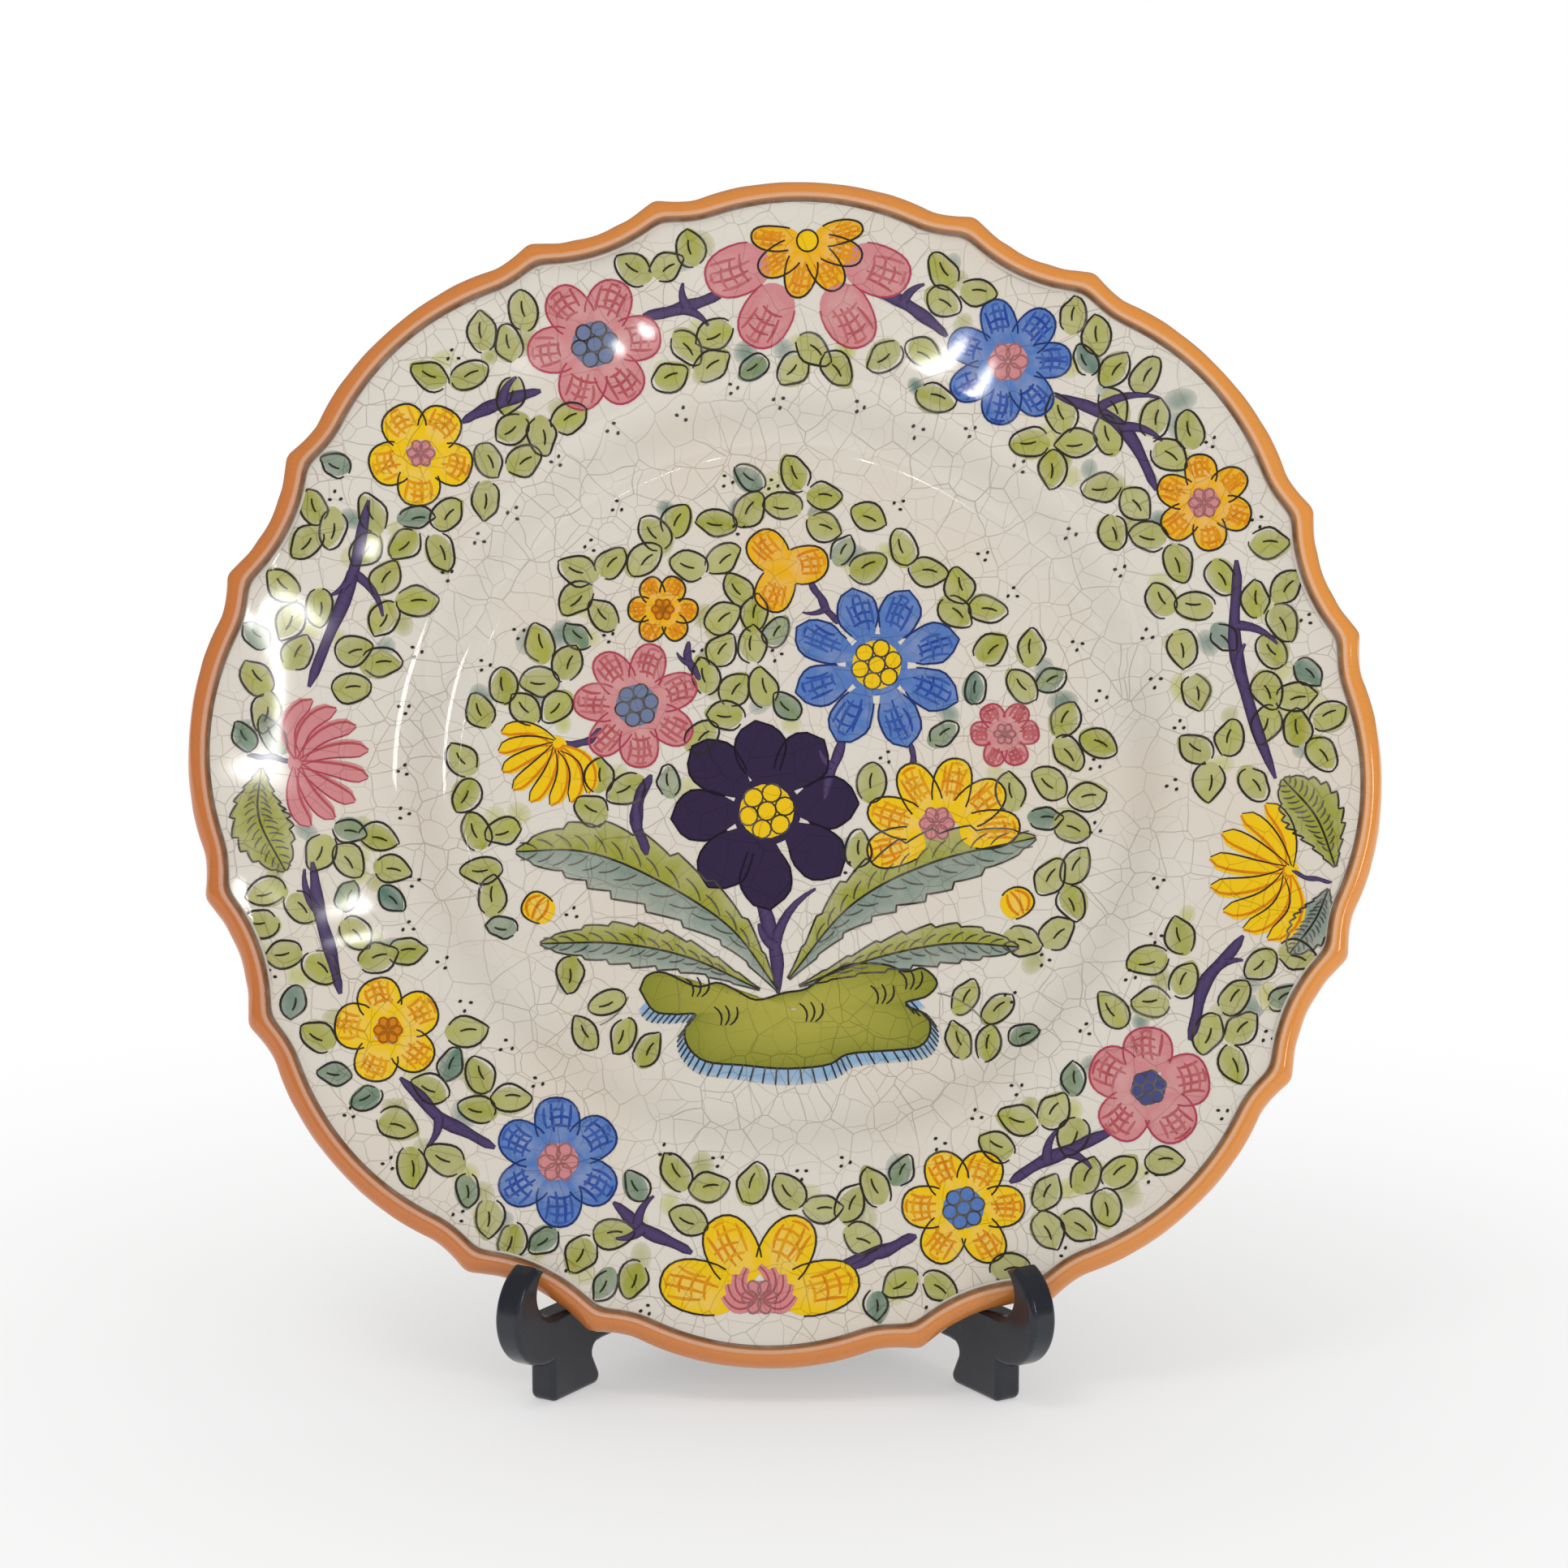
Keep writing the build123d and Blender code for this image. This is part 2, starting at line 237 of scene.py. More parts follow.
class Nodes:
    """The node tree of a material or a world, with short ways to add and join nodes."""

    def __init__(self, name, kind=bpy.data.materials):
        self.owner = kind.new(name)
        self.owner.use_nodes = True
        self.tree = self.owner.node_tree

    def feed(self, node, inputs):
        """Joins or sets a node's inputs, given by name or number."""
        for key, value in inputs.items():
            socket = node.inputs[key]
            if isinstance(value, bpy.types.NodeSocket):
                self.tree.links.new(value, socket)
            elif socket.type == "RGBA":
                socket.default_value = (*value, 1.0)
            else:
                socket.default_value = value
        return node

    def add(self, kind, inputs, **settings):
        node = self.tree.nodes.new("ShaderNode" + kind)
        for key, value in settings.items():
            setattr(node, key, value)
        return self.feed(node, inputs)

    def surface(self, inputs):
        """Sets up the material's own shader and gives the material back."""
        self.feed(self.tree.nodes["Principled BSDF"], inputs)
        return self.owner

    def math(self, operation, first, second, clamp=False):
        return self.add("Math", {0: first, 1: second}, operation=operation, use_clamp=clamp).outputs[0]

    def mix(self, factor, first, second, blend="MIX"):
        inputs = {0: factor, 6: first, 7: second}
        return self.add("Mix", inputs, data_type="RGBA", blend_type=blend).outputs[2]

    def place(self):
        """Position in the piece's own space."""
        if not hasattr(self, "position"):
            self.position = self.add("TexCoord", {}).outputs["Object"]
        return self.position

    def noise(self, scale, detail=2.0, roughness=0.5):
        inputs = {"Vector": self.place(), "Scale": scale, "Detail": detail, "Roughness": roughness}
        return self.add("TexNoise", inputs).outputs["Fac"]

    def ramp(self, value, low, high):
        """Smoothly maps value from low..high to 0..1."""
        inputs = {"Value": value, "From Min": low, "From Max": high}
        return self.add("MapRange", inputs, interpolation_type="SMOOTHSTEP").outputs["Result"]


def plate_coordinates(nodes):
    """Position in the plate's own plane, so that cracks run as on a flat sheet."""
    along = {}
    for index, axis in enumerate((RIGHT, UP)):
        dot = nodes.add("VectorMath", {0: nodes.place(), 1: tuple(axis)}, operation="DOT_PRODUCT")
        along[index] = dot.outputs["Value"]
    return nodes.add("CombineXYZ", along).outputs[0]


def crack_lines(nodes, position, cell, width, shift):
    """1 on crack lines of this width between cells of this size, 0 elsewhere."""
    noise = nodes.add("TexNoise", {"Vector": position, "Scale": 1 / (2.2 * cell), "Detail": 2.0})
    inputs = {0: noise.outputs["Color"], 1: (0.9 * cell,) * 3, 2: position}
    wobble = nodes.add("VectorMath", inputs, operation="MULTIPLY_ADD")
    moved = nodes.add("VectorMath", {0: wobble.outputs[0], 1: (shift, shift * 0.7, 0)}, operation="ADD")
    inputs = {"Vector": moved.outputs[0], "Scale": 1 / cell}
    cells = nodes.add("TexVoronoi", inputs, feature="DISTANCE_TO_EDGE", voronoi_dimensions="2D")
    sharp = width / cell
    return nodes.math("SUBTRACT", 1.0, nodes.ramp(cells.outputs["Distance"], 0.2 * sharp, sharp))


# Cell size and line width of both nets of cracks in metres, and the second net's shift.
COARSE_CRACKS = (0.0098, 0.00023, 0.0)
FINE_CRACKS = (0.0066, 0.00018, 0.31)


def crackle(nodes):
    """How strongly the craquelure shows at each point."""
    position = plate_coordinates(nodes)
    coarse = crack_lines(nodes, position, *COARSE_CRACKS)
    fine = crack_lines(nodes, position, *FINE_CRACKS)
    patchy = nodes.ramp(nodes.noise(28.0), 0.30, 0.62)
    faint = nodes.math("MULTIPLY", fine, nodes.math("MULTIPLY", patchy, 0.75))
    share = nodes.math("ADD", nodes.math("MULTIPLY", patchy, 0.35), 0.5)
    return nodes.math("MAXIMUM", nodes.math("MULTIPLY", coarse, share), faint)


def glaze_material(name, base, painted, crack_strength=0.75, roughness=0.045):
    """Glossy glaze: the painted colour laid over the base, with fine cracks."""
    nodes = Nodes(name)
    warm = tuple(c * k for c, k in zip(base, (0.985, 0.955, 0.92)))
    colour = nodes.mix(nodes.ramp(nodes.noise(16.0, 3.0), 0.35, 0.7), base, warm)
    if painted:
        paint = nodes.add("Attribute", {}, attribute_name="Paint")
        grain = nodes.math("MULTIPLY", nodes.noise(430.0, 3.0, 0.6), 0.25)
        patches = nodes.math("MULTIPLY", nodes.noise(120.0), 0.55)
        cover = nodes.math("ADD", nodes.math("ADD", grain, patches), 0.62)
        density = nodes.math("MULTIPLY", paint.outputs["Alpha"], cover, clamp=True)
        colour = nodes.mix(density, colour, paint.outputs["Color"])
    cracks = nodes.math("MULTIPLY", crackle(nodes), crack_strength)
    colour = nodes.mix(cracks, colour, CRACK, "MULTIPLY")
    return nodes.surface({"Base Color": colour, "Roughness": roughness, "IOR": 1.52})


def stand_material():
    """Black moulded plastic, satin, with faint handling marks."""
    nodes = Nodes("stand_plastic")
    specks = nodes.math("MULTIPLY", nodes.ramp(nodes.noise(900.0), 0.68, 0.74), 0.5)
    clouds = nodes.ramp(nodes.noise(60.0, 3.0), 0.4, 0.7)
    worn = nodes.math("MAXIMUM", specks, nodes.math("MULTIPLY", clouds, 0.18))
    colour = nodes.mix(worn, srgb(33, 36, 44), srgb(62, 66, 76))
    roughness = nodes.math("ADD", nodes.math("MULTIPLY", clouds, 0.10), 0.19)
    return nodes.surface({"Base Color": colour, "Roughness": roughness})


def clay_material():
    """Bare fired clay of the foot ring."""
    nodes = Nodes("fired_clay")
    grain = nodes.ramp(nodes.noise(700.0, 4.0, 0.7), 0.3, 0.75)
    colour = nodes.mix(grain, srgb(190, 140, 108), srgb(214, 172, 140))
    return nodes.surface({"Base Color": colour, "Roughness": 0.85})


def pin_material():
    """Bright wire of the hinge pin."""
    nodes = Nodes("pin_steel")
    colour = nodes.mix(nodes.noise(300.0, 3.0), srgb(150, 152, 156), srgb(205, 206, 208))
    return nodes.surface({"Base Color": colour, "Metallic": 1.0, "Roughness": 0.3})


# --- Mesh pieces ---
def link(thing):
    bpy.context.scene.collection.objects.link(thing)


def make_piece(name, points, faces, normals, paint, material):
    """A mesh with its own normals and painted colours, riding on the plate."""
    mesh = bpy.data.meshes.new(name)
    mesh.from_pydata(points.tolist(), [], faces)
    mesh.polygons.foreach_set("use_smooth", [True] * len(mesh.polygons))
    if paint is not None:
        layer = mesh.color_attributes.new("Paint", "FLOAT_COLOR", "POINT")
        layer.data.foreach_set("color", np.asarray(paint, np.float32).ravel())
    mesh.materials.append(material)
    mesh.update()
    if normals is not None:
        mesh.normals_split_custom_set_from_vertices(normals.tolist())
    piece = bpy.data.objects.new(name, mesh)
    link(piece)
    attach(piece, "plate")
    return piece


def ring_faces(rings, steps):
    """Quads between neighbouring closed rings of vertices."""
    faces = []
    for start in range(0, (rings - 1) * steps, steps):
        for i in range(steps):
            j = (i + 1) % steps
            faces.append((start + i, start + steps + i, start + steps + j, start + j))
    return faces


SHAPE_LIFT = 0.0012         # a shape lies this much above the one before it
SHAPE_LEVELS = 16           # and after this many shapes the next one lies low again


class Layer:
    """One coat of painting: flat shapes in plate millimetres, laid on the dish when finished."""

    def __init__(self, name, lift):
        self.name = name
        self.lift = lift
        self.spots = []
        self.height = []
        self.paint = []
        self.faces = []
        self.shapes = 0

    def grid(self, points, colours):
        """A patch from rows x columns points and as many colours."""
        rows, columns, _ = points.shape
        start = len(self.spots)
        self.spots.extend(points.reshape(-1, 2).tolist())
        self.height.extend([self.lift + SHAPE_LIFT * (self.shapes % SHAPE_LEVELS)] * (rows * columns))
        self.paint.extend(colours.reshape(-1, 4).tolist())
        self.shapes += 1
        for i in range(rows - 1):
            for j in range(columns - 1):
                a = start + i * columns + j
                self.faces.append((a, a + 1, a + columns + 1, a + columns))

    def facing(self):
        """The faces, each turned so that it faces the viewer."""
        corners = np.array(self.faces)
        u, v = np.moveaxis(np.array(self.spots)[corners], 2, 0)
        area = (u * np.roll(v, -1, 1) - v * np.roll(u, -1, 1)).sum(1)
        corners[area < 0] = corners[area < 0][:, ::-1]
        return corners.tolist()

    def finish(self, material):
        u, v = np.array(self.spots).T * PAINTING_SCALE
        points, normals = front_points(u, v - PAINTING_DROP)
        points = points + normals * (np.array(self.height) * MM)[:, None]
        make_piece(self.name, points, self.facing(), normals, self.paint, material)


def turned(points, degrees):
    c, s = math.cos(math.radians(degrees)), math.sin(math.radians(degrees))
    return points @ np.array([[c, s], [-s, c]])


PAINT_FULL = 1.6            # density at which nothing shows through


def rgba(colour, density=PAINT_FULL):
    return np.array([*colour, density])


def along_path(path):
    """Unit sideways vectors of a path of points."""
    ahead = np.gradient(path, axis=0)
    ahead /= np.linalg.norm(ahead, axis=1)[:, None] + 1e-9
    return np.stack([-ahead[:, 1], ahead[:, 0]], 1)


def beside(path, reach):
    """A path moved to its left by a reach that can change along it."""
    return path + along_path(path) * reach[:, None]


def band(layer, path, left, right, colour, edge=None, columns=5):
    """A patch along a path, with widths to its left and right. Its colour can change to the edges."""
    side = along_path(path)
    across = np.linspace(-1, 1, columns)
    offset = np.where(across < 0, across[None, :] * right[:, None], across[None, :] * left[:, None])
    points = path[:, None, :] + side[:, None, :] * offset[:, :, None]
    blend = across[:, None] ** 2
    colours = colour * (1 - blend) + (colour if edge is None else edge) * blend
    layer.grid(points, np.broadcast_to(colours, (len(path), columns, 4)).copy())


def stroke(layer, path, width, colour, taper):
    """A brush line that thins towards its ends by taper."""
    t = np.linspace(0, 1, len(path))
    half = width / 2 * (1 - taper + taper * np.sin(math.pi * np.clip(t, 0.04, 0.96)) ** 0.6)
    band(layer, path, half, half, colour, columns=2)


def wavy(path, amount):
    """The same path with a slight shake of the hand."""
    phase = rng.uniform(0, 6.28)
    turns = rng.uniform(1.2, 2.4)
    shake = amount * np.sin(np.linspace(0, 6.28, len(path)) * turns + phase)
    return beside(path, shake)


def crowded(count):
    """Numbers from 0 to 1 that crowd together at both ends."""
    return (1 - np.cos(math.pi * np.linspace(0, 1, count))) / 2


def curve(start, end, bow=0.0, count=9, shares=None):
    """A bowed line between two points; bow is its sideways reach as a part of its length."""
    start, end = np.asarray(start, float), np.asarray(end, float)
    t = (np.linspace(0, 1, count) if shares is None else shares)[:, None]
    line = end - start
    side = np.array([-line[1], line[0]])
    return start + line * t + side * bow * (4 * t * (1 - t))


def smooth_path(points, count):
    """An even curve through a few points."""
    points = np.asarray(points, float)
    if len(points) == 2:
        return curve(*points, 0.05, count)
    padded = np.vstack([2 * points[0] - points[1], points, 2 * points[-1] - points[-2]])
    way = np.linspace(0, len(points) - 1 - 1e-6, count)
    span = way.astype(int)
    f = (way - span)[:, None]
    a, b, c, d = (padded[span + step] for step in range(4))
    bend = (2 * a - 5 * b + 4 * c - d) * f**2 + (3 * b - a - 3 * c + d) * f**3
    return 0.5 * (2 * b + (c - a) * f + bend)


def oval(centre, length, width, degrees, squareness=1.0, count=25):
    """A closed rounded outline with its long side at this angle."""
    t = np.linspace(0, 2 * math.pi, count)
    shape = np.stack([np.cos(t), np.sin(t)], 1)
    shape = np.sign(shape) * np.abs(shape) ** squareness * (length / 2, width / 2)
    return turned(shape, degrees) + np.asarray(centre)


def fill(layer, outline, colour, edge=None, rings=(0.0, 0.4, 0.7, 0.9, 1.0)):
    """Fills a rounded outline from its middle outwards."""
    middle = outline[:-1].mean(0)
    points = np.stack([middle + (outline - middle) * max(k, 0.02) for k in rings])
    weights = np.array(rings)[:, None] ** 2
    colours = colour * (1 - weights) + (colour if edge is None else edge) * weights
    layer.grid(points, np.repeat(colours[:, None, :], len(outline), axis=1))


def from_middle(place):
    """Distance of a place in the painting from the middle of the dish."""
    return math.hypot(place[0] * PAINTING_SCALE, place[1] * PAINTING_SCALE - PAINTING_DROP)


# --- Paint colours ---
INK = srgb(44, 40, 34)
OLIVE = srgb(156, 157, 58)
LIME = srgb(186, 186, 92)
TEAL = srgb(78, 118, 104)
PINK = srgb(208, 136, 138)
ROSE = srgb(178, 80, 86)
YELLOW = srgb(240, 196, 16)
AMBER = srgb(216, 128, 8)
SKY = srgb(86, 122, 186)
COBALT = srgb(36, 68, 156)
VIOLET = srgb(82, 66, 108)
PLUM = srgb(50, 36, 68)
SLATE = srgb(112, 124, 158)

touches = Layer("painted_touches", 0.025)
wash = Layer("painted_wash", 0.055)
body_colour = Layer("painted_petals", 0.085)
brush = Layer("painted_brushwork", 0.115)
line = Layer("painted_lines", 0.145)

# --- Motifs ---
def pen(path, width, density, taper, colour=INK):
    """A thin line on top of the painting."""
    stroke(line, path, width, rgba(colour, density), taper)


def between(first, second, share):
    return tuple(a * (1 - share) + b * share for a, b in zip(first, second))


def leaf(place, degrees, length, width, colour=OLIVE):
    """A two-stroke leaf: a soft wash, a thin outline that doesn't quite follow it and a short vein."""
    ahead = polar(length, degrees)
    t = crowded(13)
    half = np.clip(np.sin(math.pi * t**0.85), 0, 1) ** 0.62 * width / 2
    path = curve(place - ahead / 2, place + ahead / 2, rng.uniform(-0.06, 0.06), shares=t)
    light = between(colour, LIME, rng.uniform(0.0, 1.0) * 0.5)
    drift = np.array([rng.uniform(-0.8, 0.8), rng.uniform(-0.8, 0.8)])
    band(wash, path + drift, half, half, rgba(light, 0.95 * rng.uniform(0.8, 1.0)), rgba(colour, 0.62))
    for sign in (-1, 1):
        rim = beside(path, sign * half)[rng.choice((0, 2)):]
        pen(wavy(rim, 0.2), 0.66, rng.uniform(0.9, 1.2), 0.55)
    vein = curve(place - ahead * 0.16, place + ahead * 0.22, 0.08, 4)
    pen(vein, 0.6, 1.1, 0.4)


def loose_blob(place, size, colour):
    """A single wet touch of the brush, without an outline."""
    shape = oval(place, size * rng.uniform(1.0, 1.5), size, rng.uniform(0, 180), count=15)
    fill(touches, shape, rgba(colour, rng.uniform(0.5, 0.85)), rgba(colour, 0.25))


def dots(place):
    """Three ink dots."""
    turn = rng.uniform(0, 360)
    for k in range(3):
        spot = place + polar(1.7 * rng.uniform(0.75, 1.1), turn + k * 120)
        fill(line, oval(spot, 1.2, 0.9, 30 * k, count=8), rgba(INK, 1.3), rgba(INK, 1.1), (0.0, 1.0))


HATCH_LINES = 4             # strokes each way


def hatch(place, degrees, length, width, under, colour):
    """Crossed brush strokes over a petal: some run along it, the others across it."""
    ahead, aside = polar(1.0, degrees), polar(1.0, degrees + 90)

    def cross(start, end, bow, thickness, share):
        """A stroke between two places, given as distances ahead and aside."""
        ends = [place + ahead * spot[0] + aside * spot[1] for spot in (start, end)]
        stroke(brush, curve(*ends, bow, 5), thickness, rgba(between(under, colour, share)), 0.6)

    for k in range(HATCH_LINES):
        side = (k + 0.5) / HATCH_LINES - 0.5
        reach = length * (0.5 - 0.35 * abs(side))
        back = -reach * rng.uniform(0.35, 0.9)
        front = reach * rng.uniform(0.75, 1.0)
        start = (back, side * width * 0.8 + rng.uniform(-0.3, 0.3))
        end = (front, side * width + rng.uniform(-0.4, 0.4))
        cross(start, end, rng.uniform(-0.05, 0.10), 0.9, rng.uniform(0.6, 1.0))
    for k in range(HATCH_LINES):
        along = ((k + 0.5) / HATCH_LINES - 0.4) * length * 0.85
        reach = width * 0.45 * math.sqrt(max(0.15, 1 - (2.0 * along / length) ** 2))
        start = (along, -reach * rng.uniform(0.45, 1.0))
        end = (along, reach * rng.uniform(0.45, 1.0))
        cross(start, end, -0.12, 0.85, rng.uniform(0.5, 1.0))


def round_petal(place, degrees, length, width, colour, deep, outline, hatched=True):
    """A rounded petal with a wet edge, crossed strokes and a thin outline."""
    shape = oval(place, length, width, degrees, 0.88)
    fill(body_colour, shape, rgba(colour, 0.82), rgba(colour, 1.05))
    if hatched:
        middle = place + polar(length * 0.08, degrees)
        hatch(middle, degrees, length * 0.78, width * 0.78, colour, deep)
    count = len(shape) - 1
    open_rim = np.roll(shape[:-1], count // 2, axis=0)[count // 6:count - count // 6 + 1]
    pen(wavy(open_rim, 0.15), 0.6, 1.0, 0.3, outline)


def petal_ring(middle, reach, angles, length, width, colours):
    """Rounded petals side by side round a middle."""
    for degrees in angles:
        round_petal(middle + polar(reach, degrees), degrees, length, width, *colours)


def pointed_petal(centre, degrees, inner, outer, width, colour, deep, outline, hatched):
    """A petal that narrows to a point."""
    t = np.linspace(0, 1, 11)
    half = np.sin(math.pi * t**1.5) ** 0.62 * width / 2
    ends = [centre + polar(reach, degrees) for reach in (inner, outer)]
    path = curve(*ends, rng.uniform(-0.05, 0.05), 11)
    band(body_colour, path, half, half, rgba(colour, 0.95 if hatched else PAINT_FULL))
    if hatched:
        middle = centre + polar(inner * 0.42 + outer * 0.58, degrees)
        hatch(middle, degrees, (outer - inner) * 0.68, width * 0.72, colour, deep)
    for sign in (-1, 1):
        pen(wavy(beside(path, sign * half)[3:], 0.18), 0.6, 1.1, 0.3, outline)


def rosette(centre, radius, colour):
    """The eye of a flower: small circles round a middle one."""
    small = radius * 0.68
    fill(brush, oval(centre, radius * 1.9, radius * 1.9, 0, count=19), rgba(colour))
    for spot in [centre] + [centre + polar(radius * 0.66, 60 * k + 15) for k in range(6)]:
        ring = oval(spot, small, small * 0.95, rng.uniform(0, 90), count=13)
        pen(ring, 0.5, 0.9, 0.0)


def scribble(centre, radius, colour):
    """A scribbled eye of loops."""
    fill(brush, oval(centre, radius * 1.8, radius * 1.6, 20, count=17), rgba(colour))
    deep = tuple(c * 0.55 for c in colour)
    for k in range(6):
        loop = oval(centre + polar(radius * 0.5, 60 * k), radius * 0.8, radius * 0.6, 60 * k, count=12)
        pen(loop, 0.55, 1.2, 0.0, deep)


def round_flower(centre, radius, colours, eye, turn=0.0, petals=6):
    """An open flower of rounded petals."""
    for k in range(petals):
        degrees = turn + k * 360 / petals + rng.uniform(-4, 4)
        place = centre + polar(radius * 0.62, degrees)
        width = radius * 4.2 / petals * rng.uniform(0.94, 1.04)
        round_petal(place, degrees, radius * 0.80, width, *colours)
    draw_eye, eye_colour = eye
    draw_eye(centre, radius * (0.30 if petals == 5 else 0.36), eye_colour)


STAR_PETALS = 8


def star_flower(centre, radius, colours, eye, turn, hatched=True):
    """An open flower of pointed petals."""
    fill(wash, oval(centre, radius * 0.72, radius * 0.72, 0), rgba(colours[0]))
    for k in range(STAR_PETALS):
        degrees = turn + k * 360 / STAR_PETALS + rng.uniform(-3, 3)
        reach = radius * rng.uniform(0.93, 1.05)
        width = radius * (3.8 if hatched else 4.35) / STAR_PETALS
        pointed_petal(centre, degrees, radius * 0.18, reach, width, *colours, hatched)
    draw_eye, eye_colour = eye
    draw_eye(centre, radius * 0.30, eye_colour)


FAN_STROKES = 8


def fan_flower(base, degrees, reach, colours, opening):
    """A carnation seen from the side: curved strokes that fan out from a narrow base."""
    colour, deep, outline = colours
    heart = base + polar(reach * 0.12, degrees)
    wet, dry = rgba(colour, 1.1), rgba(colour, 1.0)
    fill(body_colour, oval(heart, reach * 0.42, reach * 0.36, degrees), wet, dry)
    t = np.linspace(0, 1, 10)
    half = reach * 0.13 * (0.45 + 0.9 * t) * np.clip(1 - t**5, 0.01, 1) ** 0.5
    for k in range(FAN_STROKES):
        share = k / (FAN_STROKES - 1) - 0.5
        tip = base + polar(reach * (1.0 - 0.25 * abs(share)), degrees + share * opening)
        path = curve(base + polar(1.5, degrees + share * 120), tip, 0.42 * share + 0.06, 10)
        band(body_colour, path, half, half, wet, dry)
        stroke(brush, beside(path, half * 0.6), 0.8, rgba(deep), 0.5)
        pen(beside(path, half * -0.9), 0.5, 1.2, 0.6, outline)


def twig(points, width, forks=()):
    """A violet branch along a few points, with side twigs (share of the way, angle, length)."""
    path = smooth_path(points, 14)
    t = np.linspace(0, 1, len(path))
    knots = 1 + 0.12 * np.sin(t * 17.0 + rng.uniform(0, 6.28))
    half = width / 2 * (0.62 + 0.42 * np.sin(math.pi * t)) * knots
    half[[0, -1]] *= 0.45
    bark = (rgba(VIOLET, 1.2), rgba(PLUM, 1.2))
    band(body_colour, wavy(path, 0.25), half, half * 0.9, *bark)
    half = width * 0.40 * (1 - 0.75 * np.linspace(0, 1, 7) ** 1.4)
    for share, degrees, length in forks:
        start = path[int(share * (len(path) - 1))]
        branch = curve(start, start + polar(length, degrees), 0.12, 7)
        band(body_colour, branch, half, half, *bark)


def feathered_leaf(points, width, light, dark):
    """A long arching leaf with a toothed edge, a midrib and slanting veins."""
    path = smooth_path(points, 64)
    t = np.linspace(0, 1, len(path))
    swell = np.clip(np.sin(math.pi * t**1.35), 0.0, None) ** 0.8 + 0.06
    teeth = 0.84 + 0.26 * (t * 8.5 % 1.0) ** 0.8
    half = width / 2 * swell * teeth
    left_density, right_density = ((0.72 if tone is TEAL else 0.95) for tone in (light, dark))
    band(body_colour, path, half, half * 0.0, rgba(light, left_density), rgba(light, left_density * 0.7), 7)
    band(wash, path, half * 0.0, half, rgba(dark, right_density), rgba(dark, right_density * 0.8), 7)
    side = along_path(path)
    pen(path, 0.6, 0.95, 0.3)
    for sign in (1, -1):
        pen(beside(path, sign * half), 0.55, 0.9, 0.2)
    for k in range(10, len(path) - 4, 4):
        for sign in (-1, 1):
            start = path[k] + side[k] * sign * half[k] * 0.12
            tip = path[k + 4] + side[k] * sign * half[k] * 0.55
            pen(curve(start, tip, 0.1 * sign, 5), 0.5, 0.85, 0.6)


# --- Composition ---
PINKS = (PINK, ROSE, srgb(176, 62, 84))
YELLOWS = (YELLOW, AMBER, INK)
ORANGES = (srgb(236, 176, 20), AMBER, INK)
BLUES = (SKY, COBALT, srgb(30, 48, 110))
PLUMS = (PLUM, srgb(84, 62, 110), srgb(24, 16, 34))
SLATE_EYE = (rosette, SLATE)
PINK_EYE = (scribble, PINK)
AMBER_EYE = (scribble, AMBER)
YELLOW_EYE = (rosette, YELLOW)
BLUE_EYE = (rosette, SKY)
NAVY_EYE = (rosette, srgb(74, 76, 132))

# The wreath's open flowers: angle, radius from the middle, size, colours, eye, turn and petals.
wreath_flowers = [
    (113.5, 135, 18.5, PINKS, SLATE_EYE, 10, 6),
    (138, 138, 14.5, YELLOWS, PINK_EYE, 52, 5),
    (62, 134.5, 17.5, BLUES, PINK_EYE, 0, 7),
    (33.5, 141.5, 13.5, ORANGES, PINK_EYE, 40, 6),
    (212.5, 130.5, 14.5, YELLOWS, AMBER_EYE, 30, 5),
    (239.5, 123.5, 17.5, BLUES, PINK_EYE, 30, 6),
    (292.5, 129, 16.5, YELLOWS, BLUE_EYE, 0, 6),
    (319.5, 132.5, 16.5, PINKS, NAVY_EYE, 15, 5),
]
# Places that the loose leaves keep clear of: u, v and radius.
taken = [
    (6.4, 146, 17), (-12, 144, 13), (26, 144, 13), (-5, 131.5, 9.5), (18, 131.5, 9.5),
    (-7, -138, 19), (-24, -142, 12), (10, -142, 12), (-128, 5, 18), (-143, -8, 14), (-143, -18, 9),
    (128, -24, 20), (141, -22, 14), (146, -6, 10), (145, -40, 8),
]
for angle, radius, size, colours, eye, turn, petals in wreath_flowers:
    centre = polar(radius, angle)
    round_flower(centre, size, colours, eye, turn, petals)
    taken.append((*centre, size * 1.02))


def top_flower():
    """Yellow flower over four pink petals, at the top of the wreath."""
    middle = (6.4, 153.0)
    for degrees, reach in ((200, 21), (240, 23), (300, 23), (340, 21)):
        petal_ring((6.4, 152.0), reach, [degrees], 19, 14, PINKS)
    for degrees, width in ((176, 7.0), (214, 8.5), (258, 9.0), (304, 9.0), (342, 8.0), (14, 6.5)):
        petal_ring(middle, 9.0, [degrees], 14.0, width, ORANGES)
    fill(brush, oval(middle, 6.0, 6.0, 0), rgba(YELLOW))
    pen(oval(middle, 6.0, 6.0, 0), 0.5, 1.0, 0.0)


def bottom_flower():
    """Four yellow petals that rise from a pink heart, at the foot of the wreath."""
    heart = np.array([-7.0, -145.0])
    for degrees, reach, length in ((166, 17, 22), (118, 16, 20), (62, 16, 20), (14, 17, 22)):
        petal_ring(heart, reach, [degrees], length, 14.5, YELLOWS)
    for degrees in range(10, 190, 20):
        bow = 0.3 if degrees > 90 else -0.3
        path = curve(heart + polar(1.0, degrees), heart + polar(10.0, degrees), bow, 8)
        stroke(brush, path, 2.6, rgba(PINK), 0.4)
        pen(path, 0.6, PAINT_FULL, 0.4, ROSE)
    scribble(heart + (0.0, 1.5), 5.5, PINK)


